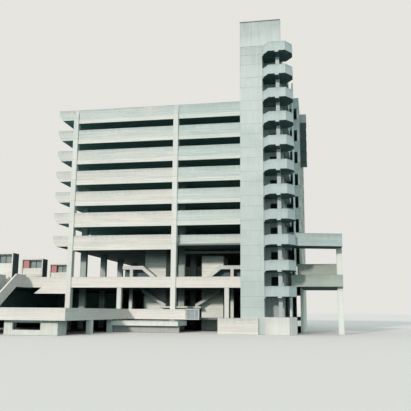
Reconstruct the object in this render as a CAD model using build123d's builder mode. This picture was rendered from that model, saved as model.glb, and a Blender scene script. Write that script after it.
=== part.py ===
from build123d import *
import os

# Multi storey car park in board-marked concrete, as a 1:2 scale model. All sizes are millimetres of
# the model. X runs right along the front, Y runs back, Z runs up, and the origin is at the foot of
# the middle front column. Height 0 is the lowest ground that a wall or column stands on.

# Columns of the main block
BAY = 6675.0
COLUMN_WIDTH = 320.0
COLUMN_DEPTH = 400.0
COLUMN_STOP = 300.0
INNER_COLUMN_WIDTH = 400.0
INNER_COLUMN_DEPTH = 300.0
BLOCK_DEPTH = 17100.0
FIRST_ROW = 2200.0
ROWS = 4
LOWER_COLUMN_SIZE = 270.0
LOWER_COLUMN_LEFT = -3390.0
LOWER_COLUMN_RIGHT = 3250.0

# Parking decks
DECKS = 7
FIRST_DECK = 5230.0
FIRST_STOREY = 1465.0
STOREY = 1365.0
DECK_SLAB = 100.0
EDGE_BEAM = 250.0
PARAPET = 580.0
WALL = 120.0
FACE_OUT = 140.0
BAND_STEP = 15.0
LEFT_END = 7885.0
RIGHT_END = 7660.0
END_SPLAY = 250.0
RIGHT_SPLAY = 100.0
END_UPRIGHT = 300.0
RECESS = 250.0
LOW_BEAM_UNDER = 4830.0
LOW_BEAM_TOP = 4980.0

# Podium and the storey under it
PODIUM_FLOOR = 2725.0
PODIUM_SLAB = 150.0
PODIUM_PARAPET = 505.0
TERRACE_LEFT = 12700.0
TERRACE_DEPTH = 11500.0
BLOCK_LEFT_EDGE = 7000.0
EAST_EDGE = 9900.0
EAST_FRONT = 1500.0
EAST_DEPTH = 4000.0
SCREEN_LEFT = 7400.0
SCREEN_RIGHT = 9750.0
SCREEN_HEIGHT = 1205.0
DOWNSTAND = 380.0
DOWNSTAND_START = 8970.0
DOWNSTAND_SLANT = 480.0

# Low terrace in front
LOW_FLOOR = 800.0
LOW_SLAB = 100.0
LOW_PARAPET = 500.0
LOW_LEFT = 11300.0
LOW_RIGHT = 3190.0
LOW_RIGHT_FAR = 2720.0
LOW_FRONT = 8350.0
FAR_PANEL = 320.0
FAR_END = 840.0
BALCONY_END = 1650.0
BALCONY_SLAB = 60.0
BALCONY_RAIL = 570.0
CORE_BAY_FRONT = 700.0
FORECOURT_TOP = 640.0
FORECOURT_SLAB = 270.0
FORECOURT_FRONT = 2500.0
FORECOURT_SETBACK = 300.0
FORECOURT_END = 880.0

# Walls and piers under the low terrace
UNDER_FRONT = 8000.0
UNDER_LEFT = 6465.0
UNDER_RIGHT = 3690.0
UNDER_DEPTH = 1030.0
UNDER_WINDOW_LEFT = 6025.0
UNDER_WINDOW_RIGHT = 4580.0
UNDER_SILL = 250.0
UNDER_HEAD = 585.0
PIER_SIZE = 280.0
PIER_ROWS = (5600.0, 2550.0)
PIER_RIGHT = 2950.0

# Cores and stair flights behind the front columns
LEFT_CORE_LEFT = -2540.0
RIGHT_CORE_LEFT = 1250.0
RIGHT_CORE_TOP = 4710.0
CORE_FRONT = 2500.0
CORE_WIDTH = 1400.0
CORE_DEPTH = 1900.0
RISERS = 13
TREAD = 132.0
FLIGHT_WAIST = 110.0
FLIGHT_WIDTH = 600.0
FLIGHT_TOP = 2550.0
HALF_LANDING = 1500.0
HALF_LANDING_SLAB = 130.0
HALF_LANDING_END = 1320.0
UPPER_LANDING = 4050.0
UPPER_WAIST = 120.0
UPPER_TREAD = 125.0
UPPER_TURN = 2590.0
UPPER_END = 3890.0
UPPER_INFILL = 60.0
POST_INNER = 3190.0
POST_OUTER = 3390.0

# Outside stair up to the podium
STAIR_RIGHT = 9550.0
STAIR_WIDTH = 1500.0
STAIR_TOP = 1300.0
STAIR_RISERS = 22
STAIR_TREAD = 140.0
STAIR_PARAPET = 640.0
STAIR_SIDE = 110.0

# Framed window boxes on the podium
POD_LEFT = 12340.0
POD_WIDTH = 1650.0
POD_DEPTH = 750.0
POD_HEIGHT = 2075.0
POD_SHELL = 90.0
POD_FRONTS = (150.0, 4400.0, 9000.0)
POD_SILL = 1000.0
POD_GLASS = 30.0
POD_GLASS_BACK = 330.0
POD_PANEL = 320.0
POD_PANEL_DEPTH = 60.0

# Lift and stair tower
TOWER_LEFT = 4435.0
TOWER_FRONT = 3070.0
TOWER_RIGHT = 6750.0
TOWER_BACK = 200.0
TOWER_WALL = 125.0
TOWER_TOP = 17850.0
HEAD_SCREEN = 400.0
DOOR_WIDTH = 450.0
DOOR_HEIGHT = 1020.0

# Dark duct against the end wall, with a pale band round its top
DUCT_WIDTH = 400.0
DUCT_FRONT = 3000.0
DUCT_DEPTH = 1200.0
DUCT_FOOT = 10790.0
DUCT_WALL = 60.0
DUCT_BAND = 20.0

# Octagonal landings beside the tower
LANDINGS = 11
TOP_LANDING = 15730.0
LANDING_PITCH = 1375.0
LANDING_SLAB = 100.0
LANDING_PARAPET = 450.0
LANDING_WALL = 70.0
LANDING_CENTRE = 6560.0
LANDING_HALF_WIDTH = 850.0
LANDING_FRONT = 3510.0
LANDING_BACK = 1890.0
CORNER_X = 375.0
CORNER_Y = 535.0
PIER_WIDTH = 215.0
PIER_Y = 2700.0
LANDING_BEAM = 80.0
BASE_HEIGHT = 920.0

# Link behind the landings, bridge and low wall
LINK_RIGHT = 7100.0
LINK_WALL = 100.0
FIN_LEFT = 7250.0
FIN_RIGHT = 7350.0
FIN_DEPTH = 200.0
FIN_TOP = 15000.0
BRIDGE_LANDING = 8
BRIDGE_START = 2700.0
BRIDGE_SKEW = 600.0
BRIDGE_WIDTH = 1430.0
BRIDGE_WALL = 100.0
BRIDGE_PARAPET = 600.0
BRIDGE_PIER_WIDTH = 300.0
BRIDGE_PIER_FRONT = 1300.0
LOW_WALL_LEFT = 3210.0
LOW_WALL_RIGHT = 5390.0
LOW_WALL_HEIGHT = 850.0

# Heights and lines that follow from the sizes above
FRONT_COLUMNS = (-BAY, 0.0, BAY)
SPANDREL_BACK = FACE_OUT - WALL
BACK_FACE = BLOCK_DEPTH + FACE_OUT
EAST_INNER = RIGHT_END - WALL
FLIGHT_FRONT = CORE_FRONT - FLIGHT_WIDTH
DECK_FLOORS = [FIRST_DECK]
for storey in range(1, DECKS):
    DECK_FLOORS.append(FIRST_DECK + FIRST_STOREY + STOREY * (storey - 1))
ROOF_TOP = DECK_FLOORS[-1] + PARAPET
PODIUM_UNDER = PODIUM_FLOOR - PODIUM_SLAB
PODIUM_TOP = PODIUM_FLOOR + PODIUM_PARAPET
LOW_UNDER = LOW_FLOOR - LOW_SLAB
LANDING_LEFT = LANDING_CENTRE - LANDING_HALF_WIDTH
LANDING_RIGHT = LANDING_CENTRE + LANDING_HALF_WIDTH
HEAD_FLOOR = TOP_LANDING + LANDING_SLAB + LANDING_PARAPET
ROW_PITCH = (BLOCK_DEPTH - FIRST_ROW) / ROWS
ROW_PLACES = [FIRST_ROW + ROW_PITCH * row for row in range(ROWS)]
LANDING_FLOORS = [TOP_LANDING - LANDING_PITCH * number + LANDING_SLAB for number in range(LANDINGS)]
BRIDGE_SLOPE = BRIDGE_SKEW / (EAST_EDGE - LANDING_RIGHT)
BRIDGE_BACK = BRIDGE_WIDTH - BRIDGE_START - BRIDGE_SLOPE * (LANDING_RIGHT - LINK_RIGHT)


def block(x0, x1, y0, y1, z0, z1, mode=Mode.ADD):
    """A box between two corners, added to the piece that is being built or cut from it."""
    with Locations(((x0 + x1) / 2, (y0 + y1) / 2, (z0 + z1) / 2)):
        Box(x1 - x0, y1 - y0, z1 - z0, mode=mode)


def plan_slab(points, z0, z1):
    """A flat slab with the outline seen from above."""
    with BuildSketch(Plane.XY.offset(z0)) as outline:
        with BuildLine():
            Polyline(*points, close=True)
        make_face()
    extrude(outline.sketch, amount=z1 - z0)


def front_panel(points, y0, y1):
    """A panel with the outline seen from the front, between two planes."""
    with BuildSketch(Plane.XZ.offset(-y1)) as outline:
        with BuildLine():
            Polyline(*points, close=True)
        make_face()
    extrude(outline.sketch, amount=y1 - y0)


def side_panel(points, x0, x1):
    """A panel with the outline seen from the right, between two planes."""
    with BuildSketch(Plane.YZ.offset(x0)) as outline:
        with BuildLine():
            Polyline(*points, close=True)
        make_face()
    extrude(outline.sketch, amount=x1 - x0)


def cut_column_holes(z0, z1):
    """Leave room for the columns that pass through a slab."""
    half = COLUMN_WIDTH / 2
    half_depth = COLUMN_DEPTH / 2
    for x in FRONT_COLUMNS:
        for y in (0.0, BLOCK_DEPTH):
            block(x - half, x + half, y - half_depth, y + half_depth, z0, z1, Mode.SUBTRACT)
        for y in ROW_PLACES:
            block(x - INNER_COLUMN_WIDTH / 2, x + INNER_COLUMN_WIDTH / 2,
                  y - INNER_COLUMN_DEPTH / 2, y + INNER_COLUMN_DEPTH / 2, z0, z1, Mode.SUBTRACT)


def cut_core_holes(z0, z1):
    """Leave room for the two cores that pass through a slab."""
    for left in (LEFT_CORE_LEFT, RIGHT_CORE_LEFT):
        block(left, left + CORE_WIDTH, CORE_FRONT, CORE_FRONT + CORE_DEPTH, z0, z1, Mode.SUBTRACT)


def save(piece, name):
    """Label a finished piece and write its file."""
    piece.part.label = name
    export_step(piece.part, "parts/" + name + ".step")


def make_columns():
    """Front and back columns stand proud of the parapets and stop below the roof parapet's top."""
    half = COLUMN_WIDTH / 2
    half_depth = COLUMN_DEPTH / 2
    stop = ROOF_TOP - COLUMN_STOP
    recess = FACE_OUT - BAND_STEP
    with BuildPart() as front_columns:
        for x in FRONT_COLUMNS:
            block(x - half, x + half, -half_depth, half_depth, 0, stop)
            block(x - half, x + half, -recess, -SPANDREL_BACK, stop, ROOF_TOP)
        size = LOWER_COLUMN_SIZE / 2
        for x in (LOWER_COLUMN_LEFT, LOWER_COLUMN_RIGHT):
            block(x - size, x + size, -FACE_OUT, -FACE_OUT + 2 * size, 0, PODIUM_UNDER)
    save(front_columns, "front_columns")
    with BuildPart() as back_columns:
        for x in FRONT_COLUMNS:
            block(x - half, x + half, BLOCK_DEPTH - half_depth, BLOCK_DEPTH + half_depth, 0, stop)
            block(x - half, x + half, BLOCK_DEPTH + SPANDREL_BACK, BLOCK_DEPTH + recess, stop, ROOF_TOP)
    save(back_columns, "back_columns")
    with BuildPart() as inner_columns:
        for x in FRONT_COLUMNS:
            for y in ROW_PLACES:
                block(x - INNER_COLUMN_WIDTH / 2, x + INNER_COLUMN_WIDTH / 2,
                      y - INNER_COLUMN_DEPTH / 2, y + INNER_COLUMN_DEPTH / 2,
                      0, DECK_FLOORS[-1])
    save(inner_columns, "inner_columns")


def make_decks():
    """Seven flat slabs, the roof deck on top, with holes for the columns."""
    for number, floor in enumerate(DECK_FLOORS, start=1):
        with BuildPart() as deck:
            block(END_SPLAY - LEFT_END, EAST_INNER, -SPANDREL_BACK, BLOCK_DEPTH + SPANDREL_BACK,
                  floor - DECK_SLAB, floor)
            cut_column_holes(floor - DECK_SLAB, floor)
        name = "roof_deck" if number == DECKS else "deck_" + str(number)
        save(deck, name)


def bay_profile(floor, face, back):
    """Section of a parapet with the edge beam under it, which stands a little proud."""
    top = floor + PARAPET
    soffit = floor - DECK_SLAB
    bottom = soffit - EDGE_BEAM
    inward = BAND_STEP if back > face else -BAND_STEP
    return [(face, bottom), (back, bottom), (back, top), (face + inward, top),
            (face + inward, soffit), (face, soffit)]


def make_bay_parapets():
    """Long parapets between the columns."""
    half = COLUMN_WIDTH / 2
    with BuildPart() as left_bay:
        for floor in DECK_FLOORS:
            side_panel(bay_profile(floor, -FACE_OUT, -SPANDREL_BACK), half - BAY, -half)
    save(left_bay, "front_parapets_left_bay")
    with BuildPart() as right_bay:
        for floor in DECK_FLOORS[1:]:
            side_panel(bay_profile(floor, -FACE_OUT, -SPANDREL_BACK), half, BAY - half)
    save(right_bay, "front_parapets_right_bay")
    with BuildPart() as back_parapets:
        for floor in DECK_FLOORS:
            profile = bay_profile(floor, BACK_FACE, BLOCK_DEPTH + SPANDREL_BACK)
            side_panel(profile, half - BAY, -half)
            side_panel(profile, half, BAY - half)
    save(back_parapets, "back_parapets")


def make_recessed_parapet():
    """The first deck's right bay has its parapet set back, with a low beam along the row behind it."""
    half = COLUMN_WIDTH / 2
    inner_half = INNER_COLUMN_WIDTH / 2
    beam_half = INNER_COLUMN_DEPTH / 2
    floor = DECK_FLOORS[0]
    with BuildPart() as parapet:
        block(half, BAY - half, RECESS, RECESS + WALL, floor, floor + PARAPET)
        block(inner_half, BAY - inner_half, FIRST_ROW - beam_half, FIRST_ROW + beam_half,
              LOW_BEAM_UNDER, LOW_BEAM_TOP)
    save(parapet, "recessed_parapet")


def end_outline(end, splay_end, floor, inner):
    """Outline of a parapet beyond the last column, with its lower outer corner cut away."""
    return [(inner, floor - DECK_SLAB), (splay_end, floor - DECK_SLAB),
            (end, floor + PARAPET - END_UPRIGHT), (end, floor + PARAPET), (inner, floor + PARAPET)]


def make_end_parapets():
    """The left end is a splayed parapet right round the overhang; the right end meets a wall."""
    column_face = BAY + COLUMN_WIDTH / 2
    front = -FACE_OUT + BAND_STEP
    back = BACK_FACE - BAND_STEP
    with BuildPart() as left_end:
        for floor in DECK_FLOORS:
            outline = end_outline(-LEFT_END, END_SPLAY - LEFT_END, floor, -column_face)
            front_panel(outline, front, -SPANDREL_BACK)
            front_panel(outline, BLOCK_DEPTH + SPANDREL_BACK, back)
            wall = [(END_SPLAY - LEFT_END, floor - DECK_SLAB), (END_SPLAY - LEFT_END, floor),
                    (WALL - LEFT_END, floor + PARAPET - END_UPRIGHT),
                    (WALL - LEFT_END, floor + PARAPET), (-LEFT_END, floor + PARAPET),
                    (-LEFT_END, floor + PARAPET - END_UPRIGHT)]
            front_panel(wall, -SPANDREL_BACK, BLOCK_DEPTH + SPANDREL_BACK)
    save(left_end, "left_end_parapets")
    with BuildPart() as right_wings:
        for floor in DECK_FLOORS:
            outline = end_outline(RIGHT_END, RIGHT_END - RIGHT_SPLAY, floor, column_face)
            front_panel(outline, front, -SPANDREL_BACK)
            front_panel(outline, BLOCK_DEPTH + SPANDREL_BACK, back)
    save(right_wings, "right_wing_parapets")
    with BuildPart() as east_wall:
        block(EAST_INNER, RIGHT_END, -SPANDREL_BACK, BLOCK_DEPTH + SPANDREL_BACK, 0, ROOF_TOP)
    save(east_wall, "east_end_wall")


def make_open_storey():
    """Back wall of the open storey and the two cores that carry the stairs."""
    half = COLUMN_WIDTH / 2
    under_beam = DECK_FLOORS[0] - DECK_SLAB - EDGE_BEAM
    with BuildPart() as back_wall:
        for x0, x1 in ((half - BAY, -half), (half, BAY - half)):
            block(x0, x1, BLOCK_DEPTH + SPANDREL_BACK, BACK_FACE, PODIUM_UNDER, under_beam)
    save(back_wall, "open_storey_back_wall")
    back = CORE_FRONT + CORE_DEPTH
    for name, left, top in (("left_core", LEFT_CORE_LEFT, DECK_FLOORS[0] - DECK_SLAB),
                            ("right_core", RIGHT_CORE_LEFT, RIGHT_CORE_TOP)):
        with BuildPart() as core:
            block(left, left + CORE_WIDTH, CORE_FRONT, back, 0, top)
            block(left + WALL, left + CORE_WIDTH - WALL, CORE_FRONT + WALL, back - WALL,
                  0, top, Mode.SUBTRACT)
        save(core, name)


def flight_outline(x_top, z_top, rise, tread, risers, waist, step):
    """Stepped outline of a stair flight that comes down from its top in the step direction."""
    points = [(x_top, z_top)]
    for number in range(risers - 1):
        x = x_top + step * tread * (number + 1)
        points.append((x, z_top - rise * number))
        points.append((x, z_top - rise * (number + 1)))
    end = x_top + step * tread * (risers - 1)
    points.append((end, z_top - rise * risers))
    points.append((end - step * waist, z_top - rise * risers))
    points.append((x_top, z_top - waist * 2))
    return points


def make_flights():
    """Two stair flights come down from the podium towards each other, to one half landing."""
    rise = (PODIUM_UNDER - HALF_LANDING) / RISERS
    with BuildPart() as left_flight:
        outline = flight_outline(-FLIGHT_TOP, PODIUM_UNDER, rise, TREAD, RISERS, FLIGHT_WAIST, 1)
        front_panel(outline, FLIGHT_FRONT, CORE_FRONT)
    save(left_flight, "left_flight")
    with BuildPart() as right_flight:
        outline = flight_outline(FLIGHT_TOP, PODIUM_UNDER, rise, TREAD, RISERS, FLIGHT_WAIST, -1)
        front_panel(outline, FLIGHT_FRONT, CORE_FRONT)
    save(right_flight, "right_flight")


def upper_stair(side):
    """A flight up from the podium to a raised landing, closed at its back, with a post under it."""
    rise = (UPPER_LANDING - PODIUM_FLOOR) / RISERS
    turn = side * UPPER_TURN
    end = side * UPPER_END
    foot = turn - side * (UPPER_TREAD * (RISERS - 1) - UPPER_WAIST)
    under = UPPER_LANDING - 2 * UPPER_WAIST
    outline = flight_outline(turn, UPPER_LANDING, rise, UPPER_TREAD, RISERS, UPPER_WAIST, -side)
    front_panel(outline, FLIGHT_FRONT, CORE_FRONT)
    block(min(turn, end), max(turn, end), FLIGHT_FRONT, CORE_FRONT, under, UPPER_LANDING)
    infill = [(end, PODIUM_FLOOR), (end, under), (turn, under), (foot, PODIUM_FLOOR)]
    front_panel(infill, CORE_FRONT - UPPER_INFILL, CORE_FRONT)
    post = sorted((side * POST_INNER, side * POST_OUTER))
    depth = POST_OUTER - POST_INNER
    block(post[0], post[1], FLIGHT_FRONT, FLIGHT_FRONT + depth, PODIUM_FLOOR, under)
    block(post[0], post[1], FLIGHT_FRONT, FLIGHT_FRONT + depth, LOW_FLOOR, PODIUM_UNDER)


def make_core_landings():
    """The half landing between the two cores, and the raised landings over the podium."""
    with BuildPart() as landings:
        block(-HALF_LANDING_END, HALF_LANDING_END, FLIGHT_FRONT, CORE_FRONT,
              HALF_LANDING - HALF_LANDING_SLAB, HALF_LANDING)
        cut_column_holes(HALF_LANDING - HALF_LANDING_SLAB, HALF_LANDING)
        upper_stair(-1)
        upper_stair(1)
    save(landings, "core_stair_landings")


def make_podium():
    """The podium floor reaches left past the block and right to the bridge pier."""
    front = -SPANDREL_BACK
    back = BLOCK_DEPTH + SPANDREL_BACK
    outline = [(-TERRACE_LEFT, front), (LINK_RIGHT, front), (LINK_RIGHT, -EAST_FRONT),
               (EAST_EDGE, -EAST_FRONT), (EAST_EDGE, EAST_DEPTH), (RIGHT_END, EAST_DEPTH),
               (RIGHT_END, front), (EAST_INNER, front), (EAST_INNER, back),
               (-BLOCK_LEFT_EDGE, back), (-BLOCK_LEFT_EDGE, TERRACE_DEPTH),
               (-TERRACE_LEFT, TERRACE_DEPTH)]
    with BuildPart() as slab:
        plan_slab(outline, PODIUM_UNDER, PODIUM_FLOOR)
        cut_column_holes(PODIUM_UNDER, PODIUM_FLOOR)
        cut_core_holes(PODIUM_UNDER, PODIUM_FLOOR)
        pier_left = EAST_EDGE - BRIDGE_PIER_WIDTH
        block(pier_left, EAST_EDGE, -BRIDGE_PIER_FRONT, BRIDGE_PIER_WIDTH - BRIDGE_PIER_FRONT,
              PODIUM_UNDER, PODIUM_FLOOR, Mode.SUBTRACT)
    save(slab, "podium_slab")
    half = COLUMN_WIDTH / 2
    with BuildPart() as front_parapets:
        for x0, x1 in ((-STAIR_RIGHT, -BAY - half), (half - BAY, -half), (half, TOWER_LEFT)):
            block(x0, x1, -FACE_OUT, front, PODIUM_UNDER, PODIUM_TOP)
        edge_beam = [(DOWNSTAND_SLANT - DOWNSTAND_START, PODIUM_UNDER),
                     (-DOWNSTAND_START, PODIUM_UNDER - DOWNSTAND),
                     (-BAY - half, PODIUM_UNDER - DOWNSTAND), (-BAY - half, PODIUM_UNDER)]
        front_panel(edge_beam, -FACE_OUT, front)
    save(front_parapets, "podium_front_parapets")
    with BuildPart() as side_parapets:
        block(-TERRACE_LEFT, -STAIR_RIGHT - STAIR_WIDTH, -FACE_OUT, front, PODIUM_UNDER, PODIUM_TOP)
        block(-TERRACE_LEFT, WALL - TERRACE_LEFT, front, TERRACE_DEPTH - WALL, PODIUM_FLOOR, PODIUM_TOP)
        block(-TERRACE_LEFT, -BLOCK_LEFT_EDGE, TERRACE_DEPTH - WALL, TERRACE_DEPTH, PODIUM_FLOOR, PODIUM_TOP)
    save(side_parapets, "terrace_parapets")
    with BuildPart() as east_walls:
        block(LINK_RIGHT, EAST_EDGE, -EAST_FRONT - WALL, -EAST_FRONT, PODIUM_UNDER, PODIUM_TOP)
        block(SCREEN_LEFT, SCREEN_RIGHT, -FACE_OUT - WALL, -FACE_OUT,
              PODIUM_FLOOR, PODIUM_FLOOR + SCREEN_HEIGHT)
        block(EAST_EDGE - WALL, EAST_EDGE, BRIDGE_PIER_WIDTH - BRIDGE_PIER_FRONT, EAST_DEPTH - WALL,
              PODIUM_FLOOR, PODIUM_TOP)
        block(RIGHT_END, EAST_EDGE, EAST_DEPTH - WALL, EAST_DEPTH, PODIUM_FLOOR, PODIUM_TOP)
    save(east_walls, "east_terrace_walls")


def make_lower_storey():
    """Walls that close the lower storey at its left and back, and the floor they stand round."""
    half = COLUMN_WIDTH / 2
    back = BLOCK_DEPTH + SPANDREL_BACK
    with BuildPart() as walls:
        block(-TERRACE_LEFT, WALL - TERRACE_LEFT, -SPANDREL_BACK, TERRACE_DEPTH, 0, PODIUM_UNDER)
        block(WALL - TERRACE_LEFT, -BLOCK_LEFT_EDGE, TERRACE_DEPTH - WALL, TERRACE_DEPTH, 0, PODIUM_UNDER)
        block(-BLOCK_LEFT_EDGE, WALL - BLOCK_LEFT_EDGE, TERRACE_DEPTH - WALL, back, 0, PODIUM_UNDER)
        for x0, x1 in ((half - BAY, -half), (half, BAY - half)):
            block(x0, x1, back, BACK_FACE, 0, PODIUM_UNDER)
    save(walls, "lower_storey_walls")
    inner_front = WALL - LOW_FRONT
    far = WALL - FAR_PANEL
    outline = [(-LOW_LEFT, inner_front), (-LOW_RIGHT - WALL, inner_front),
               (-LOW_RIGHT_FAR - WALL, -FAR_PANEL), (-LOW_RIGHT_FAR - WALL, far),
               (BALCONY_END, far), (BALCONY_END, CORE_BAY_FRONT), (EAST_INNER, CORE_BAY_FRONT),
               (EAST_INNER, back), (WALL - BLOCK_LEFT_EDGE, back),
               (WALL - BLOCK_LEFT_EDGE, TERRACE_DEPTH - WALL),
               (WALL - TERRACE_LEFT, TERRACE_DEPTH - WALL), (WALL - TERRACE_LEFT, -SPANDREL_BACK),
               (-LOW_LEFT, -SPANDREL_BACK)]
    with BuildPart() as floor:
        plan_slab(outline, LOW_UNDER, LOW_FLOOR)
        cut_column_holes(LOW_UNDER, LOW_FLOOR)
        cut_core_holes(LOW_UNDER, LOW_FLOOR)
        size = LOWER_COLUMN_SIZE / 2
        block(LOWER_COLUMN_LEFT - size, LOWER_COLUMN_LEFT + size, -FACE_OUT, 2 * size - FACE_OUT,
              LOW_UNDER, LOW_FLOOR, Mode.SUBTRACT)
    save(floor, "lower_floor")


def make_low_terrace():
    """Parapets of the low terrace, the walls and piers that carry it and the slab beside it."""
    top = LOW_FLOOR + LOW_PARAPET
    with BuildPart() as parapets:
        block(-LOW_LEFT, -LOW_RIGHT, -LOW_FRONT, WALL - LOW_FRONT, LOW_UNDER, top)
        plan_slab([(-LOW_RIGHT - WALL, WALL - LOW_FRONT), (-LOW_RIGHT, WALL - LOW_FRONT),
                   (-LOW_RIGHT_FAR, -FAR_PANEL), (-LOW_RIGHT_FAR - WALL, -FAR_PANEL)], LOW_UNDER, top)
        block(-LOW_RIGHT_FAR - WALL, FAR_END, -FAR_PANEL, WALL - FAR_PANEL, LOW_UNDER, top)
    save(parapets, "low_terrace_parapets")
    with BuildPart() as balcony:
        block(FAR_END, BALCONY_END, -FAR_PANEL, WALL - FAR_PANEL, LOW_UNDER, LOW_UNDER + BALCONY_SLAB)
        block(FAR_END, BALCONY_END, -FAR_PANEL, WALL - FAR_PANEL,
              LOW_UNDER + BALCONY_RAIL, LOW_UNDER + BALCONY_RAIL + BALCONY_SLAB)
        block(BALCONY_END - BALCONY_SLAB, BALCONY_END, -FAR_PANEL, WALL - FAR_PANEL,
              LOW_UNDER, LOW_UNDER + BALCONY_RAIL)
    save(balcony, "balcony_rail")
    with BuildPart() as walls:
        block(-UNDER_LEFT, -UNDER_RIGHT, -UNDER_FRONT, WALL - UNDER_FRONT, 0, LOW_UNDER)
        block(-UNDER_WINDOW_LEFT, -UNDER_WINDOW_RIGHT, -UNDER_FRONT, WALL - UNDER_FRONT,
              UNDER_SILL, UNDER_HEAD, Mode.SUBTRACT)
        block(-UNDER_RIGHT - WALL, -UNDER_RIGHT, WALL - UNDER_FRONT, UNDER_DEPTH - UNDER_FRONT, 0, LOW_UNDER)
        block(-UNDER_LEFT, WALL - UNDER_LEFT, WALL - UNDER_FRONT, UNDER_DEPTH - UNDER_FRONT, 0, LOW_UNDER)
    save(walls, "undercroft_walls")
    with BuildPart() as piers:
        for y in PIER_ROWS:
            block(-PIER_RIGHT - PIER_SIZE, -PIER_RIGHT, -y, PIER_SIZE - y, 0, LOW_UNDER)
            block(-LOW_LEFT, PIER_SIZE - LOW_LEFT, -y, PIER_SIZE - y, 0, LOW_UNDER)
    save(piers, "undercroft_piers")
    with BuildPart() as forecourt:
        front = -FORECOURT_FRONT
        under = FORECOURT_TOP - FORECOURT_SLAB
        block(-PIER_RIGHT, FORECOURT_END, front, -COLUMN_DEPTH / 2, under, FORECOURT_TOP)
        block(-PIER_RIGHT, FORECOURT_END, front + FORECOURT_SETBACK, front + FORECOURT_SETBACK + WALL,
              0, under)
    save(forecourt, "forecourt_slab")


def make_outside_stair():
    """The stair from the low terrace up to the podium, between two solid parapets."""
    left = -STAIR_RIGHT - STAIR_WIDTH
    inner_left = left + STAIR_SIDE
    inner_right = -STAIR_RIGHT - STAIR_SIDE
    rise = (PODIUM_FLOOR - LOW_FLOOR) / STAIR_RISERS
    run = STAIR_TREAD * (STAIR_RISERS - 1)
    foot = -STAIR_TOP - run
    slope = rise / STAIR_TREAD
    with BuildPart() as flight:
        outline = [(-SPANDREL_BACK, PODIUM_UNDER), (-SPANDREL_BACK, PODIUM_FLOOR), (-STAIR_TOP, PODIUM_FLOOR)]
        for number in range(STAIR_RISERS - 1):
            y = -STAIR_TOP - STAIR_TREAD * number
            outline.append((y, PODIUM_FLOOR - rise * (number + 1)))
            outline.append((y - STAIR_TREAD, PODIUM_FLOOR - rise * (number + 1)))
        outline.append((foot, LOW_FLOOR))
        outline.append((foot + PODIUM_SLAB / slope, LOW_FLOOR))
        outline.append((-STAIR_TOP, PODIUM_UNDER))
        side_panel(outline, inner_left, inner_right)
    save(flight, "outside_stair")
    side = [(-FACE_OUT, PODIUM_UNDER), (-FACE_OUT, PODIUM_FLOOR + STAIR_PARAPET),
            (-STAIR_TOP, PODIUM_FLOOR + STAIR_PARAPET), (foot, LOW_FLOOR + STAIR_PARAPET), (foot, LOW_FLOOR),
            (foot + PODIUM_SLAB / slope, LOW_FLOOR), (-STAIR_TOP, PODIUM_UNDER)]
    with BuildPart() as parapets:
        side_panel(side, left, inner_left)
        side_panel(side, inner_right, -STAIR_RIGHT)
    save(parapets, "outside_stair_parapets")


def make_pods():
    """Framed boxes on the podium, each with a solid sill wall, set-back glass and a side panel."""
    left = -POD_LEFT
    right = POD_WIDTH - POD_LEFT
    sill = PODIUM_FLOOR + POD_SILL
    lintel = PODIUM_FLOOR + POD_HEIGHT - POD_SHELL
    panel_right = left + POD_SHELL + POD_PANEL
    with BuildPart() as pods:
        for front in POD_FRONTS:
            block(left, right, front, front + POD_DEPTH, PODIUM_FLOOR, PODIUM_FLOOR + POD_HEIGHT)
            block(left + POD_SHELL, right - POD_SHELL, front, front + POD_DEPTH - POD_SHELL,
                  sill, lintel, Mode.SUBTRACT)
            block(left + POD_SHELL, right - POD_SHELL, front + POD_SHELL, front + POD_DEPTH - POD_SHELL,
                  PODIUM_FLOOR, sill - POD_SHELL, Mode.SUBTRACT)
    save(pods, "terrace_window_boxes")
    with BuildPart() as panels:
        for front in POD_FRONTS:
            back = front + POD_GLASS_BACK + POD_GLASS
            block(left + POD_SHELL, panel_right, back - POD_PANEL_DEPTH, back, sill, lintel)
    save(panels, "window_box_panels")
    with BuildPart() as glazing:
        for front in POD_FRONTS:
            glass = front + POD_GLASS_BACK
            block(panel_right, right - POD_SHELL, glass, glass + POD_GLASS, sill, lintel)
    save(glazing, "window_box_glazing")


def tower_plan():
    """Outline of the tower, with the corner left out where the landings are."""
    return [(TOWER_LEFT, -TOWER_FRONT), (LANDING_LEFT, -TOWER_FRONT), (LANDING_LEFT, -LANDING_BACK),
            (TOWER_RIGHT, -LANDING_BACK), (TOWER_RIGHT, -TOWER_BACK), (TOWER_LEFT, -TOWER_BACK)]


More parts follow.
